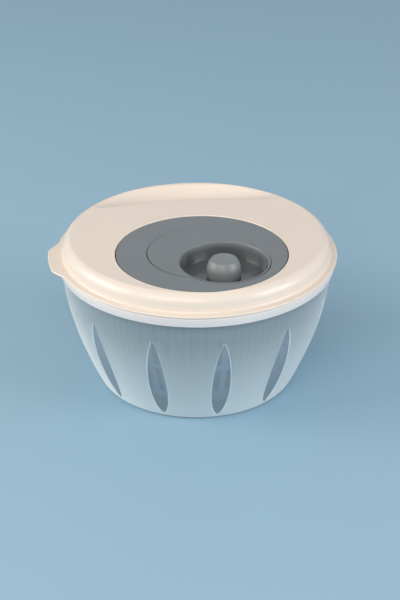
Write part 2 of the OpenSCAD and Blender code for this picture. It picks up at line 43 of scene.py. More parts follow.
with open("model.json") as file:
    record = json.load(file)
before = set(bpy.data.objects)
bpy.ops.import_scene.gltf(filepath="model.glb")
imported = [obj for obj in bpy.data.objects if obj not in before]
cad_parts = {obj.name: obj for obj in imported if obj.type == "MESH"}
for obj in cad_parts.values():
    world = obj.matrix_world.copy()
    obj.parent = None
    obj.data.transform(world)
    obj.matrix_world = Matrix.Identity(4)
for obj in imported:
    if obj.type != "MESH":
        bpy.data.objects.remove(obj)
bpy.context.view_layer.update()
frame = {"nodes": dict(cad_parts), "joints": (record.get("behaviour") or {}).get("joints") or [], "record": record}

MM = 0.001


# ---------------------------------------------------------------- the frame's own places

def joint_place(name):
    """The point that a hinge of the frame turns about."""
    for joint in frame["joints"]:
        if joint["name"] == name:
            return Vector(joint["pos_m"])
    raise ValueError("the frame has no joint " + name)


def low(node):
    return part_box(node)[0]


def high(node):
    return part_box(node)[1]


ROTOR_AXIS = joint_place("rotor_spin")
KNOB_AXIS = joint_place("knob_spin")
RIM_TOP = high("bowl")[2]
BAND_R = high("bowl")[1]
LID_R = high("lid")[1]
ROTOR_FACE_Z = high("rotor_inlay")[2]


# ---------------------------------------------------------------- settings that a user would change

def size(name, default_mm, description):
    return bpy.props.FloatProperty(
        name=name, description=description, default=default_mm * MM, unit="LENGTH"
    )


def turn(name, degrees, description):
    return bpy.props.FloatProperty(
        name=name, description=description, default=math.radians(degrees), subtype="ANGLE"
    )


def linear(code):
    """An sRGB hex colour as linear RGBA."""
    parts = [int(code[i:i + 2], 16) / 255 for i in (0, 2, 4)]
    return tuple(c / 12.92 if c <= 0.04045 else ((c + 0.055) / 1.055) ** 2.4 for c in parts) + (1.0,)


def colour(name, code, description):
    return bpy.props.FloatVectorProperty(
        name=name, description=description, default=linear(code), size=4,
        min=0.0, max=1.0, subtype="COLOR"
    )


FROSTED = 0
CLEAR = 1
EDGE_HIGHLIGHT = 2
BAND = 3
WALL_KINDS = ("wall", "inside wall")


class BowlSettings(bpy.types.PropertyGroup):
    base_r: size("Base radius", 88.5, "Radius that the wall's curve would have at the table")
    wall_r: size("Wall radius", 119.8, "Outer radius of the wall just below the band")
    wall_h: size("Wall height", 110.7, "Height of the band's lower edge")
    bulge: bpy.props.FloatProperty(name="Bulge", description="How strongly the wall bulges", default=1.7)
    wall: size("Wall", 2.2, "Wall thickness")
    floor: size("Floor", 2.6, "Floor thickness")
    round_r: size("Base rounding", 7.0, "Rounding between floor and wall")
    band_low_r: size("Band lower radius", 122.5, "Outer radius of the band's lower edge")
    band_t: size("Band thickness", 1.6, "Thickness of the turned-down band")
    windows: bpy.props.IntProperty(name="Windows", description="Number of clear windows", default=12)
    window_turn: turn("Window turn", 4.0, "Angle of the first window from the front")
    window_low: size("Window foot", 5.0, "Height of a window's lower tip")
    window_h: size("Window height", 87.0, "Height of a window")
    window_w: size("Window width", 16.0, "Greatest width of a window")
    window_deep: size("Window depth", 0.7, "How deep a window is sunk")
    edge_w: size("Window edge", 0.6, "Width of the sloping edge round a window")
    frost: colour("Frosted wall", "d0e3ea", "Colour of the frosted plastic")
    # The window edge's colour is a painted highlight; the band's colour is partly one.
    edge: colour("Window edge", "ecf5fa", "Colour of the plastic at a window's edge")
    band: colour("Band", "f2ebe9", "Colour of the plastic where it is thick")
    clear: colour("Clear window", "d9eaf5", "Colour of the polished plastic")


class BasketSettings(bpy.types.PropertyGroup):
    base_r: size("Base radius", 80.0, "Radius that the wall's curve would have at its foot")
    wall_r: size("Wall radius", 109.6, "Outer radius of the wall at the rim")
    wall: size("Wall", 2.0, "Wall and floor thickness")
    bulge: bpy.props.FloatProperty(name="Bulge", description="How strongly the wall bulges", default=1.7)
    round_r: size("Base rounding", 8.0, "Rounding between floor and wall")
    slots: bpy.props.IntProperty(name="Slots", description="Slots in each row", default=60)
    slot_w: size("Slot width", 5.0, "Width of a slot")
    tint: colour("Plastic", "e6f1fa", "Colour of the basket's plastic")


class LidSettings(bpy.types.PropertyGroup):
    rise: size("Rise", 16.9, "Height of the plateau above the flange's underside")
    flange_t: size("Flange", 2.0, "Thickness of the flange")
    wall: size("Wall", 2.0, "Wall thickness")
    side_r: size("Side radius", 118.5, "Radius of the lid's side")
    shoulder: size("Shoulder", 10.0, "Radius of the round shoulder")
    ridge: size("Ridge", 1.3, "Height of the ridge above the plateau")
    opening_r: size("Opening", 75.2, "Radius of the rotor's opening")
    well_r: size("Well radius", 71.2, "Radius of the rotor's well below its ledge")
    well_z: size("Well floor", 106.9, "Height of the well's floor")
    skirt_r: size("Skirt radius", 117.2, "Outer radius of the locating skirt")
    skirt_h: size("Skirt depth", 7.0, "Depth of the locating skirt")
    tab_out: size("Tab", 7.0, "How far the pull tab stands out")
    tab_half: turn("Tab half width", 17.0, "Angle from the tab's middle to its shoulders' ends")
    tab_turn: turn("Tab turn", -88.0, "Angle of the tab from the front")
    scoop_r: size("Scoop radius", 19.6, "Radius of the scoop's cross-section")
    scoop_deep: size("Scoop depth", 9.0, "Depth of the scoop below the plateau")
    scoop_y: size("Scoop place", 91.5, "Distance of the scoop's middle from the lid's axis")
    scoop_bend: size("Scoop bend", 166.0, "Radius of the curve that the scoop follows")
    scoop_tilt: turn("Scoop tilt", 25.0, "Tilt that makes the scoop shallower at its tips")
    cream: colour("Cream", "e7d9cb", "Colour of the lid's plastic")


class RotorSettings(bpy.types.PropertyGroup):
    grey: colour("Rotor grey", "757b7f", "Colour of the rotor")
    knob_grey: colour("Knob grey", "7f8587", "Colour of the knob")
    knob_r: size("Knob radius", 14.8, "Radius of the knob's body")
    knob_top_r: size("Knob top radius", 11.6, "Radius of the knob's flat top")


class StageSettings(bpy.types.PropertyGroup):
    floor: colour("Floor", "96b6c9", "Colour of the paper floor")
    camera_turn: turn("Camera turn", -7.5, "Camera's turn round the object")
    camera_tilt: turn("Camera tilt", 27.39, "Camera's height angle above the lid")
    camera_far: size("Camera distance", 1300.0, "Distance of the camera from the lid")
    aim_z: size("Aim height", 95.0, "Height that the distance is measured from")
    lens: bpy.props.FloatProperty(name="Lens", description="Focal length in mm", default=86.6)


# ---------------------------------------------------------------- shapes

def arc(x, y, r, start, stop, steps):
    """Points along an arc; the angles are in degrees."""
    points = []
    for i in range(steps + 1):
        a = math.radians(start + (stop - start) * i / steps)
        points.append((x + r * math.cos(a), y + r * math.sin(a)))
    return points


def rounded(points, steps=5, closed=True):
    """An outline with its corners rounded: each point is (x, y) or (x, y, radius)."""
    result = []
    count = len(points)
    for i, point in enumerate(points):
        here = Vector(point[:2])
        if len(point) < 3 or (not closed and i in (0, count - 1)):
            result.append(tuple(here))
            continue
        before = Vector(points[i - 1][:2]) - here
        after = Vector(points[(i + 1) % count][:2]) - here
        half = before.angle(after) / 2
        reach = min(point[2] / math.tan(half), before.length * 0.49, after.length * 0.49)
        start = here + before.normalized() * reach
        stop = here + after.normalized() * reach
        for k in range(steps + 1):
            t = k / steps
            result.append(tuple(start * (1 - t) ** 2 + here * 2 * t * (1 - t) + stop * t ** 2))
    return result


def smooth_step(t):
    t = min(1.0, max(0.0, t))
    return t * t * (3 - 2 * t)


def soft_min(a, b, blend):
    """The smaller of two heights, with a rounded meeting of the given size."""
    h = max(blend - abs(a - b), 0.0) / blend
    return min(a, b) - h * h * blend / 4


def bulging(z, base_r, top_r, height, curve):
    """Radius of a bulging wall at a height above its foot."""
    return base_r + (top_r - base_r) * (1 - (1 - z / height) ** curve)


def rings_to_mesh(rings, closed=False):
    """Vertices and faces of a skin through rings of points; a ring of one point is a pole."""
    verts = []
    starts = []
    for ring in rings:
        starts.append(len(verts))
        verts.extend(ring)
    faces = []
    pairs = list(zip(range(len(rings)), range(1, len(rings))))
    if closed:
        pairs.append((len(rings) - 1, 0))
    for a, b in pairs:
        na = len(rings[a])
        nb = len(rings[b])
        for k in range(max(na, nb)):
            corners = [starts[a] + k % na, starts[a] + (k + 1) % na,
                       starts[b] + (k + 1) % nb, starts[b] + k % nb]
            face = [c for i, c in enumerate(corners) if c not in corners[:i]]
            if len(face) > 2:
                faces.append(face)
    return verts, faces


def lathe(profile, steps, centre=(0.0, 0.0), closed=True, shape=None):
    """A turned solid: profile is a list of (radius, height); shape may change a radius with the angle."""
    rings = []
    for index, (r, z) in enumerate(profile):
        if r < 1e-7:
            rings.append([(centre[0], centre[1], z)])
            continue
        ring = []
        for k in range(steps):
            a = 2 * math.pi * k / steps
            grown = shape(index, r, a) if shape else r
            ring.append((centre[0] + grown * math.cos(a), centre[1] + grown * math.sin(a), z))
        rings.append(ring)
    return rings_to_mesh(rings, closed)


def make_piece(name, shape, materials, body, replaced=(), flat_above=35.0):
    """A mesh piece with its finishes, riding on a body of the frame."""
    verts, faces = shape
    mesh = bpy.data.meshes.new(name)
    mesh.from_pydata([tuple(v) for v in verts], [], faces)
    mesh.validate()
    for material in materials:
        mesh.materials.append(material)
    piece = bpy.data.objects.new(name, mesh)
    bpy.context.scene.collection.objects.link(piece)
    turn_faces_out(mesh)
    mesh.shade_smooth()
    mesh.set_sharp_from_angle(angle=math.radians(flat_above))
    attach(piece, body)
    if replaced:
        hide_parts(*replaced)
    return piece


def turn_faces_out(mesh):
    """Makes every face's normal point outwards."""
    work = bmesh.new()
    work.from_mesh(mesh)
    bmesh.ops.recalc_face_normals(work, faces=work.faces)
    work.to_mesh(mesh)
    work.free()


def add_bevel(piece, width_mm, segments=2, angle=40.0):
    bevel = piece.modifiers.new("edges", "BEVEL")
    bevel.width = width_mm * MM
    bevel.segments = segments
    bevel.limit_method = "ANGLE"
    bevel.angle_limit = math.radians(angle)
    bevel.harden_normals = True
    return bevel


# ---------------------------------------------------------------- finishes

def add_node(tree, kind, settings=None, values=None, links=None):
    """Adds a node, sets its options and input values, and links sockets into it."""
    node = tree.nodes.new(kind)
    for key, value in (settings or {}).items():
        setattr(node, key, value)
    for key, value in (values or {}).items():
        node.inputs[key].default_value = value
    for key, socket in (links or {}).items():
        tree.links.new(socket, node.inputs[key])
    return node


def only_node(tree, kind):
    """The node of a kind that a plastic's tree has one of."""
    return next(node for node in tree.nodes if node.type == kind)


def per_mm(spacing_mm):
    """Texture scale that gives features of a real size."""
    return 1 / (spacing_mm * MM)


def plastic(name, tint, shade, roughness, grain_mm, grain_depth_mm, patch_mm, **shader):
    """A moulded plastic: tint and shade mix in soft patches, and the mould's grain shows as a fine bump."""
    material = bpy.data.materials.new(name)
    material.use_nodes = True
    tree = material.node_tree
    tree.nodes.clear()
    place = add_node(tree, "ShaderNodeTexCoord")
    patches = add_node(tree, "ShaderNodeTexNoise", values={"Scale": per_mm(patch_mm), "Detail": 2.0},
                       links={"Vector": place.outputs["Object"]})
    grain = add_node(tree, "ShaderNodeTexNoise", values={"Scale": per_mm(grain_mm), "Detail": 3.0},
                     links={"Vector": place.outputs["Object"]})
    ramp = add_node(tree, "ShaderNodeValToRGB", links={"Fac": patches.outputs["Fac"]})
    ramp.color_ramp.elements[0].position = 0.3
    ramp.color_ramp.elements[0].color = shade
    ramp.color_ramp.elements[1].position = 0.7
    ramp.color_ramp.elements[1].color = tint
    gloss = add_node(tree, "ShaderNodeMapRange",
                     values={"From Min": 0.3, "From Max": 0.7, "To Min": roughness[0], "To Max": roughness[1]},
                     links={"Value": grain.outputs["Fac"]})
    bump = add_node(tree, "ShaderNodeBump", values={"Strength": 0.35, "Distance": grain_depth_mm * MM},
                    links={"Height": grain.outputs["Fac"]})
    surface = add_node(tree, "ShaderNodeBsdfPrincipled", values=shader,
                       links={"Base Color": ramp.outputs["Color"], "Roughness": gloss.outputs["Result"],
                              "Normal": bump.outputs["Normal"]})
    add_node(tree, "ShaderNodeOutputMaterial", links={"Surface": surface.outputs["BSDF"]})
    return material


def darker(rgba, share):
    return tuple(c * share for c in rgba[:3]) + (1.0,)


def frosted_polypropylene(sizes):
    # Polypropylene moulded against a blasted steel: milky, it scatters what is behind it.
    # The blasting is 0.1 mm grit, drawn at 1.5 mm so that it shows as a faint unevenness.
    # Towards the foot the plastic is made less clear and so whiter: painted light, standing for the light that
    # gathers where wall and floor meet.
    material = plastic("frosted_polypropylene_blasted_mould_painted_light_and_shade", sizes.frost, darker(sizes.frost, 0.96),
                       (0.3, 0.38), 1.5, 0.03, 70,
                       **{"IOR": 1.49, "Sheen Weight": 1.0, "Sheen Roughness": 0.45})
    tree = material.node_tree
    surface = only_node(tree, "BSDF_PRINCIPLED")
    place = only_node(tree, "TEX_COORD")
    height = add_node(tree, "ShaderNodeSeparateXYZ", links={"Vector": place.outputs["Object"]})
    # Painted light: the wall is made milkier, and so whiter, towards the foot.
    clearness = add_node(tree, "ShaderNodeMapRange",
                         values={"From Min": 0.0, "From Max": sizes.wall_h * 0.9,
                                 "To Min": 0.22, "To Max": 0.8},
                         links={"Value": height.outputs["Z"]})
    tree.links.new(clearness.outputs["Result"], surface.inputs["Transmission Weight"])
    # Faint painted shade in upright stripes, about 6 mm apart and fading towards the foot. They stand for a ribbed
    # shape seen dimly through the wall, and don't follow the basket's own bars.
    around = add_node(tree, "ShaderNodeMath", {"operation": "ARCTAN2"},
                      links={0: height.outputs["Y"], 1: height.outputs["X"]})
    bars = add_node(tree, "ShaderNodeMath", {"operation": "MULTIPLY"}, {1: 120.0}, {0: around.outputs["Value"]})
    wave = add_node(tree, "ShaderNodeMath", {"operation": "SINE"}, links={0: bars.outputs["Value"]})
    depth = add_node(tree, "ShaderNodeMapRange",
                     values={"From Min": 0.2 * sizes.wall_h, "From Max": 0.9 * sizes.wall_h,
                             "To Min": 1.0, "To Max": 0.94},
                     links={"Value": height.outputs["Z"]})
    streak_shade = add_node(tree, "ShaderNodeMapRange", values={"From Min": -1.0, "From Max": 1.0, "To Max": 1.0},
                       links={"Value": wave.outputs["Value"], "To Min": depth.outputs["Result"]})
    deepen(material, streak_shade.outputs["Result"])
    return material


def deepen(material, share):
    """Multiplies a plastic's colour by the value of a socket."""
    tree = material.node_tree
    surface = only_node(tree, "BSDF_PRINCIPLED")
    tint = surface.inputs["Base Color"].links[0].from_socket
    scaled = add_node(tree, "ShaderNodeVectorMath", {"operation": "SCALE"},
                      links={"Vector": tint, "Scale": share})
    tree.links.new(scaled.outputs["Vector"], surface.inputs["Base Color"])


def thick_band_and_lit_edge_polypropylene(name, tint):
    # The same plastic at the band and at the windows' edges, whiter and milky. At the windows' edges the whiter
    # tint is painted highlight for the light that meets them edge on; at the band it is partly the thick plastic's
    # own milkiness and partly painted highlight.
    return plastic(name, tint, darker(tint, 0.97),
                   (0.3, 0.38), 1.5, 0.03, 70, **{"IOR": 1.49, "Transmission Weight": 0.12})


def clear_polypropylene(sizes):
    # The same plastic moulded against polished steel: clear, with crisp reflections.
    return plastic("clear_polypropylene_polished_mould", sizes.clear, darker(sizes.clear, 0.97),
                   (0.08, 0.12), 9, 0.02, 60, **{"IOR": 1.49, "Transmission Weight": 0.78})


def basket_polypropylene(sizes):
    # A thinner, tinted polypropylene with a satin mould finish.
    return plastic("satin_polypropylene_basket", sizes.tint, darker(sizes.tint, 0.92),
                   (0.3, 0.4), 1.2, 0.03, 50, **{"IOR": 1.49, "Transmission Weight": 0.3})


def cream_abs(sizes):
    # ABS in a warm off-white, moulded against lapped steel: an even soft gloss.
    return plastic("cream_abs_lapped_mould", sizes.cream, darker(sizes.cream, 0.975),
                   (0.3, 0.36), 1.6, 0.02, 90, **{"IOR": 1.53, "Coat Weight": 0.15, "Coat Roughness": 0.2})


def grey_abs(sizes):
    # ABS in mid grey, moulded against fine-stoned steel: satin, with a faint grain.
    return plastic("grey_abs_stoned_mould", sizes.grey, darker(sizes.grey, 0.93),
                   (0.32, 0.4), 1.1, 0.03, 40, **{"IOR": 1.53})


def pocket_abs(sizes):
    # The same grey ABS, moulded against polished steel inside the finger pocket, so it is glossier there.
    # Its colour is also darkened towards the pocket's floor: painted shade, standing for the shade in the deep
    # pocket; the plastic is the same throughout.
    material = plastic("grey_abs_stoned_face_polished_pocket_painted_shade", sizes.grey, darker(sizes.grey, 0.93),
                       (0.3, 0.38), 1.1, 0.03, 40, **{"IOR": 1.53, "Coat Roughness": 0.12, "Coat IOR": 1.6})
    tree = material.node_tree
    place = only_node(tree, "TEX_COORD")
    height = add_node(tree, "ShaderNodeSeparateXYZ", links={"Vector": place.outputs["Object"]})
    depth = {"From Min": ROTOR_FACE_Z - 6 * MM, "From Max": ROTOR_FACE_Z - 1 * MM}
    # Painted shade: the colour falls to half its value 6 mm below the face.
    shade = add_node(tree, "ShaderNodeMapRange", values={**depth, "To Min": 0.5, "To Max": 1.0},
                     links={"Value": height.outputs["Z"]})
    polish = add_node(tree, "ShaderNodeMapRange", values={**depth, "To Min": 0.9, "To Max": 0.0},
                      links={"Value": height.outputs["Z"]})
    deepen(material, shade.outputs["Result"])
    surface = only_node(tree, "BSDF_PRINCIPLED")
    tree.links.new(polish.outputs["Result"], surface.inputs["Coat Weight"])
    return material


def knob_abs(sizes):
    # The same grey ABS, but the knob is polished by the hand that turns it.
    return plastic("grey_abs_hand_polished", sizes.knob_grey, darker(sizes.knob_grey, 0.92),
                   (0.36, 0.44), 1.2, 0.02, 12, **{"IOR": 1.53})


def white_acetal():
    # Acetal as moulded for gears and bushes: a waxy, slightly see-through white.
    return plastic("white_acetal_moulded", linear("ecebe4"), linear("dedcd2"), (0.34, 0.44), 1.0, 0.02, 15,
                   **{"IOR": 1.48, "Subsurface Weight": 0.15, "Subsurface Scale": 1.5 * MM})


def tumbled_stainless():
    # Stainless steel, turned and then tumbled: fine scratches every way, 0.2 mm apart, drawn at 0.6 mm.
    return plastic("stainless_tumbled", linear("c9cacb"), linear("aeb0b2"), (0.22, 0.38), 0.6, 0.01, 5,
                   **{"Metallic": 1.0})


def floor_paper(sizes):
    # Seamless background paper: matt, with a very faint mottle.
    return plastic("seamless_paper_matt", sizes.floor, darker(sizes.floor, 0.985), (0.8, 0.9), 3.0, 0.02, 220,
                   **{"IOR": 1.3})


# ---------------------------------------------------------------- the pieces

class PieceOperator(bpy.types.Operator):
    bl_options = {"REGISTER"}


class SPINNER_OT_bowl(PieceOperator):
    """Makes the frosted bowl with its clear windows"""
    bl_idname = "spinner.bowl"
    bl_label = "Bowl"

    def execute(self, context):
        s = context.scene.spinner_bowl
        frosted = frosted_polypropylene(s)
        edge = thick_band_and_lit_edge_polypropylene("frosted_polypropylene_edge_painted_highlight", s.edge)
        band = thick_band_and_lit_edge_polypropylene("frosted_polypropylene_thick_band_part_painted_highlight", s.band)
        clear = clear_polypropylene(s)
        verts, faces, finishes = bowl_shape(s)
        bowl = make_piece("bowl_shell", (verts, faces), [frosted, clear, edge, band], "bowl",
                          ["bowl"], 26)
        bowl.data.polygons.foreach_set("material_index", finishes)
        return {"FINISHED"}


def bowl_outline(s):
    """Rows of the bowl's section as (radius, height, kind of place)."""
    lean = math.atan((s.wall_r - s.base_r) * s.bulge / s.wall_h * 0.96)
    foot_z = s.round_r * (1 - math.sin(lean))

    def wall_at(z):
        return bulging(z, s.base_r, s.wall_r, s.wall_h, s.bulge)

    corner_x = wall_at(foot_z) - s.round_r * math.cos(lean)
    rows = [(0.0, 0.0, "foot"), (corner_x * 0.5, 0.0, "foot")]
    for x, z in arc(corner_x, s.round_r, s.round_r, -90, -math.degrees(lean), 6)[:-1]:
        rows.append((x, z, "foot"))
    steps = 66
    for i in range(steps + 1):
        z = foot_z + (s.wall_h - foot_z) * i / steps
        rows.append((wall_at(z), z, "wall"))
    rim = rounded([
        (s.wall_r, s.wall_h),
        (s.wall_r, RIM_TOP - s.band_t, 0.8 * MM),
        (BAND_R - s.band_t, RIM_TOP - s.band_t, 0.8 * MM),
        (s.band_low_r - s.band_t, s.wall_h, 0.5 * MM),
        (s.band_low_r, s.wall_h, 0.9 * MM),
        (BAND_R, RIM_TOP - 0.4 * MM, 1.2 * MM),
        (s.wall_r + 1.5 * MM, RIM_TOP, 1.0 * MM),
        (s.wall_r - s.wall, RIM_TOP, 1.0 * MM),
        (s.wall_r - s.wall, s.wall_h),
    ], 4, closed=False)
    rows.extend((x, z, "band") for x, z in rim[1:])
    inner_steps = 48
    inner_low = s.round_r + 1.0 * MM
    for i in range(1, inner_steps + 1):
        z = s.wall_h + (inner_low - s.wall_h) * i / inner_steps
        rows.append((wall_at(z) - s.wall, z, "inside wall"))
    inside = arc(corner_x, s.round_r, s.round_r - s.floor, -math.degrees(lean), -90, 5)
    boss_z = low("basket_spindle")[2] - 0.3 * MM
    inside += [(9.0 * MM, s.floor), (8.0 * MM, s.floor + 0.8 * MM), (8.0 * MM, boss_z - 0.4 * MM),
               (7.4 * MM, boss_z), (0.0, boss_z)]
    rows.extend((x, z, "inside") for x, z in inside)
    return rows


def bowl_shape(s):
    """The bowl's skin, with its columns gathered along the windows' edges."""
    inner = [-1.0, -0.66, -0.33, 0.0, 0.33, 0.66, 1.0]
    outside = 6
    half_w = s.window_w / 2
    foot_power = 0.62
    tip_power = 0.84
    widest = foot_power / (foot_power + tip_power)
    sector = 2 * math.pi / s.windows

    def window_half(z):
        t = (z - s.window_low) / s.window_h
        if t <= 0 or t >= 1:
            return 0.0
        return half_w * (t / widest) ** foot_power * ((1 - t) / (1 - widest)) ** tip_power

    def column_plan(half):
        """Distances across one sector as (distance, sunk share, inside the window's edge)."""
        core = max(half, 0.25 * MM)
        edge = s.edge_w
        plan = [(f * core, 1.0) for f in inner]
        left = [(-core - edge * 0.5, 0.5), (-core - edge, 0.0)]
        right = [(core + edge * 0.5, 0.5), (core + edge, 0.0)]
        return left[::-1] + plan + right

    rows = bowl_outline(s)
    rings = []
    for r, z, kind in rows:
        if r < 1e-7:
            rings.append([(0.0, 0.0, z)])
            continue
        half = window_half(z) if kind in WALL_KINDS else 0.0
        sunk = s.window_deep * smooth_step(half / (2.0 * MM)) if kind == "wall" else 0.0
        plan = column_plan(half)
        scale = max(r, 60 * MM)
        ring = []
        for w in range(s.windows):
            centre = s.window_turn + w * sector - math.pi / 2
            angles = [(centre + d / scale, share) for d, share in plan]
            last = angles[-1][0]
            following = centre + sector + plan[0][0] / scale
            for k in range(1, outside):
                angles.append((last + (following - last) * k / outside, 0.0))
            for a, share in angles:
                reach = r - sunk * share
                ring.append((reach * math.cos(a), reach * math.sin(a), z))
        rings.append(ring)
    verts, faces = rings_to_mesh(rings)
    per_sector = len(rings[1]) // s.windows
    finishes = []
    for row in range(len(rings) - 1):
        for column in range(len(rings[1])):
            finish = FROSTED
            kinds = (rows[row][2], rows[row + 1][2])
            if "band" in kinds:
                finish = BAND
            z = (rows[row][1] + rows[row + 1][1]) / 2
            if kinds[0] == kinds[1] and kinds[0] in WALL_KINDS and window_half(z) > 0.3 * MM:
                place = column % per_sector
                if 2 <= place < 2 + len(inner) - 1:
                    finish = CLEAR
                elif place < 4 + len(inner) - 1:
                    # The sloping edge round a window takes the whiter finish: painted highlight.
                    finish = EDGE_HIGHLIGHT if kinds[0] == "wall" else CLEAR
            finishes.append(finish)
    return verts, faces, finishes


class SPINNER_OT_basket(PieceOperator):
    """Makes the slotted basket"""
    bl_idname = "spinner.basket"
    bl_label = "Basket"

    def execute(self, context):
        s = context.scene.spinner_basket
        finish = basket_polypropylene(s)
        basket = make_piece("basket_shell", basket_shape(s), [finish], "basket",
                            ["basket"], 40)
        add_bevel(basket, 0.4)
        plate = frame["nodes"]["drive_plate"]
        dress("drive_plate", finish)
        add_bevel(plate, 0.4)
        return {"FINISHED"}


def basket_shape(s):
    """The basket as an outer and an inner skin with slots left open between them."""
    foot = low("basket")[2]
    top = high("basket")[2]
    rim_r = high("basket")[1]
    height = top - foot
    lean = math.atan((s.wall_r - s.base_r) * s.bulge / height * 0.96)
    arc_z = foot + s.round_r * (1 - math.sin(lean))
    bead = 3.0 * MM
    lower_slot = foot + 2 * s.round_r
    upper_end = top - 11.0 * MM
    gap = 6.0 * MM
    row_h = (upper_end - lower_slot - gap) / 2

    def wall_at(z):
        return bulging(z - foot, s.base_r, s.wall_r, height, s.bulge)

    corner_x = wall_at(arc_z) - s.round_r * math.cos(lean)
    hub_r = 15.0 * MM
    outer = []
    inner = []
    kinds = []

    def add_row(out_point, in_point, kind):
        outer.append(out_point)
        inner.append(in_point)
        kinds.append(kind)

    floor_rows = [(hub_r, ""), (24 * MM, "long"), (36 * MM, "both"), (50 * MM, "both"), (63 * MM, ""),
                  (68 * MM, "")]
    for r, kind in floor_rows:
        add_row((r, foot), (r, foot + s.wall), kind)
    corner = arc(corner_x, foot + s.round_r, s.round_r, -90, -math.degrees(lean), 5)
    corner_in = arc(corner_x, foot + s.round_r, s.round_r - s.wall, -90, -math.degrees(lean), 5)
    for a, b in zip(corner, corner_in):
        add_row(a, b, "")
    heights = [(lower_slot, "both")]
    for row in range(2):
        start = lower_slot + row * (row_h + gap)
        steps = 6
        for i in range(steps + 1):
            kind = "both" if i < steps else ""
            z = start + row_h * i / steps
            if row or i:
                heights.append((z, kind))
    heights.append((upper_end + 3 * MM, ""))
    heights.append((top - bead - 0.6 * MM, ""))
    for z, kind in heights:
        add_row((wall_at(z), z), (wall_at(z) - s.wall, z), kind)
    edge_in = s.wall_r - s.wall
    add_row((rim_r - 0.6 * MM, top - bead), (edge_in, top - bead), "notch")
    add_row((rim_r, top - bead + 0.6 * MM), (edge_in, top - bead + 0.6 * MM), "notch")
    add_row((rim_r, top - 0.6 * MM), (edge_in, top - 0.6 * MM), "notch")
    add_row((rim_r - 0.6 * MM, top), (edge_in, top), "end")

    sector = 2 * math.pi / s.slots
    half_slot = s.slot_w / 2 / (0.5 * (s.base_r + s.wall_r))
    angles = []
    for k in range(s.slots):
        centre = (k + 0.5) * sector
        angles.extend([centre - sector / 2, centre - half_slot, centre + half_slot])
    columns = len(angles)
    verts = []
    for skin in (outer, inner):
        for r, z in skin:
            for a in angles:
                verts.append((r * math.cos(a), r * math.sin(a), z))
    rows = len(outer)
    inner_start = rows * columns

    def is_open(row, column):
        if row < 0 or row >= rows - 1:
            return False
        kind = kinds[row]
        in_slot = column % 3 == 1
        if kind == "both":
            return in_slot
        if kind == "long":
            return in_slot and (column // 3) % 2 == 0
        if kind == "notch":
            middle = (angles[column] + angles[(column + 1) % columns]) / 2
            if column == columns - 1:
                middle = angles[column] + half_slot
            off = (middle + math.pi / 6) % (math.pi / 3) - math.pi / 6
            return abs(off) < 6.4 * MM / s.wall_r
        return False

    faces = []
    for row in range(rows - 1):
        for column in range(columns):
            nxt = (column + 1) % columns
            a = row * columns + column
            b = row * columns + nxt
            c = (row + 1) * columns + nxt
            d = (row + 1) * columns + column
            if is_open(row, column):
                continue
            faces.append([a, b, c, d])
            faces.append([inner_start + v for v in (d, c, b, a)])
            if row > 0 and is_open(row - 1, column):
                faces.append([b, a, inner_start + a, inner_start + b])
            if row < rows - 2 and is_open(row + 1, column):
                faces.append([d, c, inner_start + c, inner_start + d])
            if is_open(row, (column - 1) % columns):
                faces.append([a, d, inner_start + d, inner_start + a])
            if is_open(row, nxt):
                faces.append([c, b, inner_start + b, inner_start + c])
            if row == rows - 2:
                faces.append([d, c, inner_start + c, inner_start + d])
            if row == 0:
                faces.append([b, a, inner_start + a, inner_start + b])
    notch_row = next(i for i, kind in enumerate(kinds) if kind == "notch")
    for column in range(columns):
        if is_open(notch_row, column):
            nxt = (column + 1) % columns
            a = notch_row * columns + column
            b = notch_row * columns + nxt
            if [a, b] not in faces:
                faces.append([b, a, inner_start + a, inner_start + b])
    hub = basket_hub(hub_r, foot, s)
    return join_shapes([(verts, unique_faces(faces)), hub])


def unique_faces(faces):
    seen = set()
    kept = []
    for face in faces:
        key = tuple(sorted(face))
        if key not in seen:
            seen.add(key)
            kept.append(face)
    return kept


def basket_hub(hub_r, foot, s):
    """The hub with its six-sided socket, which drops over the spindle."""
    socket = 9.4 * MM * math.cos(math.radians(30))
    hub_top = high("basket_spindle")[2] + 3.0 * MM
    roof = high("basket_spindle")[2] + 0.3 * MM

    def shape(index, r, a):
        if index in (0, 1):
            return socket / math.cos((a % math.radians(60)) - math.radians(30))
        return r

    profile = [(socket, roof), (socket, foot + 0.2 * MM), (hub_r, foot), (hub_r, foot + s.wall),
               (13.9 * MM, foot + s.wall + 1.1 * MM), (13.5 * MM, foot + s.wall + 3 * MM),
               (13.5 * MM, hub_top - 1.5 * MM), (12.9 * MM, hub_top - 0.4 * MM), (11.5 * MM, hub_top),
               (0.0, hub_top)]
    return lathe([(0.0, roof)] + profile, 90, closed=False, shape=lambda i, r, a: shape(i - 1, r, a))


def join_shapes(shapes):
    """Several (vertices, faces) as one."""
    verts = []
    faces = []
    for more_verts, more_faces in shapes:
        start = len(verts)
        verts.extend(more_verts)
        faces.extend([[start + v for v in face] for face in more_faces])
    return verts, faces


class SPINNER_OT_lid(PieceOperator):
    """Makes the lid with its scoop, tab and rotor well"""
    bl_idname = "spinner.lid"
    bl_label = "Lid"

    def execute(self, context):
        s = context.scene.spinner_lid
        finish = cream_abs(s)
        make_piece("lid_shell", lid_shape(s), [finish], "lid", ["lid"], 50)
        boss_r = 12.6 * MM
        floor_z = low("lid")[2]
        boss = rounded([
            (7.6 * MM, floor_z), (boss_r - 2.4 * MM, floor_z, 0.5 * MM),
            (boss_r - 2.2 * MM, floor_z + 6 * MM, 1.0 * MM), (boss_r, floor_z + 8.2 * MM),
            (7.6 * MM, floor_z + 8.2 * MM)
        ])
        make_piece("lid_bearing_boss", lathe(boss, 72), [finish], "lid")
        return {"FINISHED"}


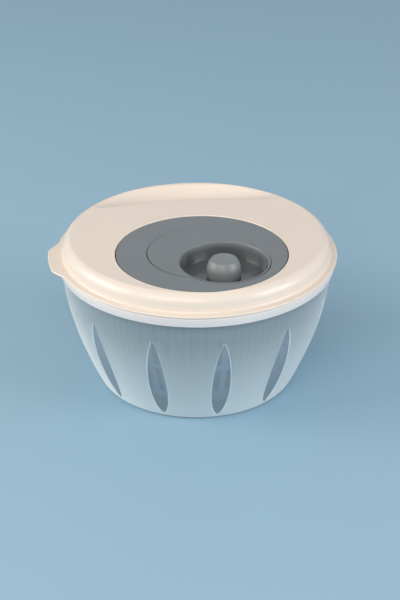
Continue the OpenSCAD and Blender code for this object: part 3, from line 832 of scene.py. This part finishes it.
def lid_heights(s):
    """The lid's upper surface as a function of the place on it, and the heights that it is built from."""
    flange_z = RIM_TOP + 0.3 * MM
    plateau = flange_z + s.rise
    shoulder_x = s.side_r - s.shoulder
    shoulder_z = plateau + s.ridge - s.shoulder
    crest_r = shoulder_x + s.shoulder * math.cos(math.radians(72))
    crest_z = shoulder_z + s.shoulder * math.sin(math.radians(72))
    tilt = s.scoop_tilt
    scoop_centre = Vector((0.0, s.scoop_y, plateau + s.scoop_r - s.scoop_deep))

    def body_z(r):
        if r >= crest_r:
            return shoulder_z + math.sqrt(max(s.shoulder ** 2 - (r - shoulder_x) ** 2, 0.0))
        t = min(1.0, max(0.0, (r - s.opening_r) / (crest_r - s.opening_r)))
        return plateau + (crest_z - plateau) * t * t

    def scoop_z(x, y):
        """Lower side of the tilted, bent tube above a place, by walking down to its surface."""
        clear_of_scoop = plateau + 0.1
        upper = plateau + 12 * MM
        lower = plateau - s.scoop_deep - 1 * MM
        if tube_distance(x, y, upper) > 0:
            return clear_of_scoop
        for _ in range(18):
            z = (upper + lower) / 2
            if tube_distance(x, y, z) > 0:
                lower = z
            else:
                upper = z
        return upper

    def tube_distance(x, y, z):
        dy = y - scoop_centre.y
        dz = z - scoop_centre.z
        across = dy * math.cos(tilt) - dz * math.sin(tilt) + s.scoop_bend
        above = dy * math.sin(tilt) + dz * math.cos(tilt)
        return math.hypot(math.hypot(x, across) - s.scoop_bend, above) - s.scoop_r

    def surface_z(x, y):
        z = body_z(math.hypot(x, y))
        if y > 40 * MM:
            z = soft_min(z, scoop_z(x, y), 0.8 * MM)
        return z

    return surface_z, flange_z, plateau, shoulder_x, shoulder_z


def lid_shape(s):
    """The lid's closed skin: rings run from the well's floor over the top, round the rim and underneath."""
    surface_z, flange_z, plateau, shoulder_x, shoulder_z = lid_heights(s)
    steps = 400
    rotor_y = ROTOR_AXIS.y
    turns = [2 * math.pi * k / steps for k in range(steps)]
    outer_r = shoulder_x + s.shoulder * math.cos(math.radians(48))
    lip = 1.0 * MM
    ledge_z = high("glide_ring")[2] - 1.9 * MM
    floor_low = s.well_z - s.wall
    rings = [[(0.0, rotor_y, s.well_z)]]

    def round_rotor(r, z):
        rings.append([(r * math.cos(a), rotor_y + r * math.sin(a), z) for a in turns])

    def round_lid(r, z, grow=None):
        rings.append([((r + (grow(a) if grow else 0.0)) * math.cos(a),
                       (r + (grow(a) if grow else 0.0)) * math.sin(a), z) for a in turns])

    for r, z in [(s.well_r, s.well_z), (s.well_r, ledge_z), (s.opening_r, ledge_z),
                 (s.opening_r, plateau - 4 * MM)]:
        round_rotor(r, z)

    # The lip turns over with a small round edge and then runs out over the plateau.
    def blend_ring(t, drop):
        ring = []
        for a in turns:
            start = Vector((s.opening_r * math.cos(a), rotor_y + s.opening_r * math.sin(a)))
            stop = Vector((outer_r * math.cos(a), outer_r * math.sin(a)))
            span = (stop - start).length
            place = start + (stop - start) * min(1.0, t / span)
            ring.append((place.x, place.y, surface_z(place.x, place.y) - drop))
        rings.append(ring)

    for a in (180, 160, 140, 120, 100):
        blend_ring(lip * (1 + math.cos(math.radians(a))), lip * (1 - math.sin(math.radians(a))) - 0.25 * MM)
    for out, rise in ((1.6, 0.25), (2.2, 0.12), (2.9, 0.0)):
        blend_ring(out * MM, -rise * MM)
    rows = 74
    for i in range(1, rows + 1):
        ring = []
        for a in turns:
            start = Vector((s.opening_r * math.cos(a), rotor_y + s.opening_r * math.sin(a)))
            stop = Vector((outer_r * math.cos(a), outer_r * math.sin(a)))
            span = (stop - start).length
            begin = 2.9 * MM / span
            place = start + (stop - start) * (begin + (1 - begin) * i / rows)
            ring.append((place.x, place.y, surface_z(place.x, place.y)))
        rings.append(ring)

    def tab(a):
        off = (a + math.pi / 2 - s.tab_turn + math.pi) % (2 * math.pi) - math.pi
        return s.tab_out * smooth_step((s.tab_half - abs(off)) / (s.tab_half * 0.55))

    for a in (42, 34, 26, 17, 8, 0):
        angle = math.radians(a)
        round_lid(shoulder_x + s.shoulder * math.cos(angle), shoulder_z + s.shoulder * math.sin(angle))
    top_z = flange_z + s.flange_t
    fillet = 2.0 * MM
    for x, z in arc(s.side_r + fillet + 0.2 * MM, top_z + fillet, fillet, 190, 270, 6):
        round_lid(x, z)
    edge = s.flange_t / 2
    for x, z in arc(LID_R - edge, top_z - edge, edge, 90, -90, 10):
        round_lid(x, z, tab)
    inner_r = s.shoulder - s.wall
    round_lid(s.skirt_r, flange_z)
    for x, z in rounded([(s.skirt_r, flange_z), (s.skirt_r, flange_z - s.skirt_h, 0.5 * MM),
                         (s.skirt_r - s.wall, flange_z - s.skirt_h, 0.5 * MM),
                         (s.skirt_r - s.wall, flange_z + s.wall)], 3, closed=False)[1:]:
        round_lid(x, z)
    for a in (5, 25, 45, 58):
        angle = math.radians(a)
        round_lid(shoulder_x + inner_r * math.cos(angle), shoulder_z + inner_r * math.sin(angle))
    under = 26
    well_r = s.opening_r + s.wall
    from_r = shoulder_x + inner_r * math.cos(math.radians(58))
    for i in range(1, under + 1):
        ring = []
        for a in turns:
            start = Vector((from_r * math.cos(a), from_r * math.sin(a)))
            stop = Vector((well_r * math.cos(a), rotor_y + well_r * math.sin(a)))
            place = start + (stop - start) * i / under
            z = surface_z(place.x, place.y) - s.wall * 1.15
            near = math.hypot(place.x, place.y)
            if near > shoulder_x:
                z = min(z, shoulder_z + math.sqrt(max(inner_r ** 2 - (near - shoulder_x) ** 2, 0.0)))
            ring.append((place.x, place.y, z))
        rings.append(ring)
    for r, z in rounded([(well_r, plateau - 6 * MM), (well_r, ledge_z - s.wall, 1.0 * MM),
                         (s.well_r + s.wall, ledge_z - s.wall, 1.0 * MM),
                         (s.well_r + s.wall, floor_low, 1.2 * MM),
                         (40 * MM, floor_low)], 4, closed=False):
        round_rotor(r, z)
    rings.append([(0.0, rotor_y, floor_low)])
    return rings_to_mesh(rings)


class SPINNER_OT_rotor(PieceOperator):
    """Dresses the rotor and its inlay"""
    bl_idname = "spinner.rotor"
    bl_label = "Rotor"

    def execute(self, context):
        s = context.scene.spinner_rotor
        dress("rotor_disc", grey_abs(s))
        dress("rotor_inlay", pocket_abs(s))
        for node in ("rotor_disc", "rotor_inlay"):
            add_bevel(frame["nodes"][node], 0.35)
        return {"FINISHED"}


class SPINNER_OT_knob(PieceOperator):
    """Makes the knob and its cap"""
    bl_idname = "spinner.knob"
    bl_label = "Knob"

    def execute(self, context):
        s = context.scene.spinner_rotor
        finish = knob_abs(s)
        base = low("knob")[2]
        top = high("knob")[2]
        centre = (KNOB_AXIS.x, KNOB_AXIS.y)
        rise = top - base
        shoulder = base + rise * 0.42
        side = []
        steps = 16
        for i in range(steps + 1):
            t = i / steps
            r = s.knob_top_r + (s.knob_r - s.knob_top_r) * (1 - t ** 1.9)
            side.append((r, shoulder + (top - shoulder) * t))
        skirt = [(6.0 * MM, base), (s.knob_r - 1.0 * MM, base), (s.knob_r - 0.3 * MM, base + 0.3 * MM),
                 (s.knob_r, base + 1.0 * MM), (s.knob_r, base + rise * 0.2)]
        crown = [(s.knob_top_r - 0.3 * MM, top + 0.02 * MM), (s.knob_top_r - 0.6 * MM, top - 0.06 * MM),
                 (s.knob_top_r - 0.65 * MM, top - 1.5 * MM), (6.0 * MM, top - 1.5 * MM)]
        make_piece("knob_body", lathe(skirt + side + crown, 128, centre), [finish], "knob",
                   ["knob"])
        cap_r = s.knob_top_r - 0.72 * MM
        cap = [(0.0, top - 0.42 * MM), (cap_r * 0.5, top - 0.34 * MM), (cap_r * 0.8, top - 0.18 * MM),
               (cap_r - 0.2 * MM, top - 0.08 * MM), (cap_r, top - 0.25 * MM), (cap_r, top - 1.4 * MM),
               (0.0, top - 1.4 * MM)]
        make_piece("knob_top_cap", lathe(cap, 128, centre, closed=False), [finish], "knob",
                   ["knob_cap"])
        return {"FINISHED"}


def dress(node, material):
    """Gives a node of the frame its finish."""
    thing = frame["nodes"][node]
    thing.data.materials.clear()
    thing.data.materials.append(material)


class SPINNER_OT_inner_parts(PieceOperator):
    """Dresses the gears, bushes, washers and screws"""
    bl_idname = "spinner.inner_parts"
    bl_label = "Gears, bushes and fasteners"

    def execute(self, context):
        acetal = white_acetal()
        steel = tumbled_stainless()
        for entry in frame["record"]["subparts"]:
            if entry["material_slot"] == "acetal":
                dress(entry["node"], acetal)
            if entry["material_slot"] == "stainless":
                dress(entry["node"], steel)
        return {"FINISHED"}


# ---------------------------------------------------------------- the stage

class SPINNER_OT_stage(PieceOperator):
    """Makes the floor, the lights and the camera"""
    bl_idname = "spinner.stage"
    bl_label = "Stage"

    def execute(self, context):
        s = context.scene.spinner_stage
        scene = context.scene
        scene.view_settings.view_transform = "Standard"
        span = 12.0
        paper = bpy.data.meshes.new("floor_sheet")
        cells = 24
        verts = [(span * (i / cells - 0.5), span * (j / cells - 0.5), -0.0002)
                 for j in range(cells + 1) for i in range(cells + 1)]
        faces = [(j * (cells + 1) + i, j * (cells + 1) + i + 1, (j + 1) * (cells + 1) + i + 1,
                  (j + 1) * (cells + 1) + i) for j in range(cells) for i in range(cells)]
        paper.from_pydata(verts, [], faces)
        paper.materials.append(floor_paper(s))
        sheet = bpy.data.objects.new("floor_sheet", paper)
        scene.collection.objects.link(sheet)
        add_lights(scene)
        add_camera(scene, s)
        return {"FINISHED"}


def add_softbox(scene, name, place, aim, width, height, power, tint):
    light = bpy.data.lights.new(name, "AREA")
    light.shape = "RECTANGLE"
    light.size = width
    light.size_y = height
    light.energy = power
    light.color = tint[:3]
    lamp = bpy.data.objects.new(name, light)
    lamp.location = place
    lamp.rotation_euler = (Vector(aim) - Vector(place)).to_track_quat("-Z", "Y").to_euler()
    scene.collection.objects.link(lamp)


def add_lights(scene):
    """A low softbox on the left, one high in front, one on the right, and an even pale room."""
    add_softbox(scene, "key_softbox", (-2.1, 0.0, 0.9), (0, 0, 0.08), 1.5, 1.1, 30, linear("fff8ee"))
    add_softbox(scene, "front_softbox", (-0.9, -1.9, 1.5), (0, 0, 0.08), 2.0, 1.2, 24, linear("fffaf4"))
    add_softbox(scene, "right_softbox", (2.0, -1.2, 0.8), (0, 0, 0.08), 1.4, 1.2, 31, linear("fbf8f6"))
    world = bpy.data.worlds.new("pale_room")
    world.use_nodes = True
    tree = world.node_tree
    tree.nodes.clear()
    sky = add_node(tree, "ShaderNodeBackground", values={"Color": linear("e9eef2"), "Strength": 0.6})
    add_node(tree, "ShaderNodeOutputWorld", links={"Surface": sky.outputs["Background"]})
    scene.world = world


def add_camera(scene, s):
    """A camera in front of the lid, a little to its left, looking down on it."""
    lens = bpy.data.cameras.new("front_camera")
    lens.lens = s.lens
    lens.sensor_width = 36.0
    lens.clip_end = 50.0
    camera = bpy.data.objects.new("front_camera", lens)
    level = s.camera_far * math.cos(s.camera_tilt)
    camera.location = (
        level * math.sin(s.camera_turn),
        -level * math.cos(s.camera_turn),
        s.camera_far * math.sin(s.camera_tilt) + s.aim_z,
    )
    down = math.radians(0.943)
    side = math.radians(0.157)
    camera.rotation_euler = (math.pi / 2 - s.camera_tilt - down, 0.0, s.camera_turn - side)
    scene.collection.objects.link(camera)
    scene.camera = camera


# ---------------------------------------------------------------- panel and registration

class SPINNER_PT_panel(bpy.types.Panel):
    bl_label = "Salad spinner"
    bl_space_type = "VIEW_3D"
    bl_region_type = "UI"
    bl_category = "Spinner"

    def draw(self, context):
        for operator in OPERATORS:
            self.layout.operator(operator.bl_idname)


SETTINGS = {
    "spinner_bowl": BowlSettings,
    "spinner_basket": BasketSettings,
    "spinner_lid": LidSettings,
    "spinner_rotor": RotorSettings,
    "spinner_stage": StageSettings,
}
OPERATORS = [
    SPINNER_OT_stage, SPINNER_OT_bowl, SPINNER_OT_basket, SPINNER_OT_lid, SPINNER_OT_rotor,
    SPINNER_OT_knob, SPINNER_OT_inner_parts,
]


def register():
    for kind in [*SETTINGS.values(), *OPERATORS, SPINNER_PT_panel]:
        bpy.utils.register_class(kind)
    for name, kind in SETTINGS.items():
        setattr(bpy.types.Scene, name, bpy.props.PointerProperty(type=kind))


def unregister():
    for name in SETTINGS:
        delattr(bpy.types.Scene, name)
    for kind in reversed([*SETTINGS.values(), *OPERATORS, SPINNER_PT_panel]):
        bpy.utils.unregister_class(kind)


def main():
    register()
    bpy.ops.spinner.stage()
    bpy.ops.spinner.bowl()
    bpy.ops.spinner.basket()
    bpy.ops.spinner.lid()
    bpy.ops.spinner.rotor()
    bpy.ops.spinner.knob()
    bpy.ops.spinner.inner_parts()


if __name__ == "__main__":
    main()
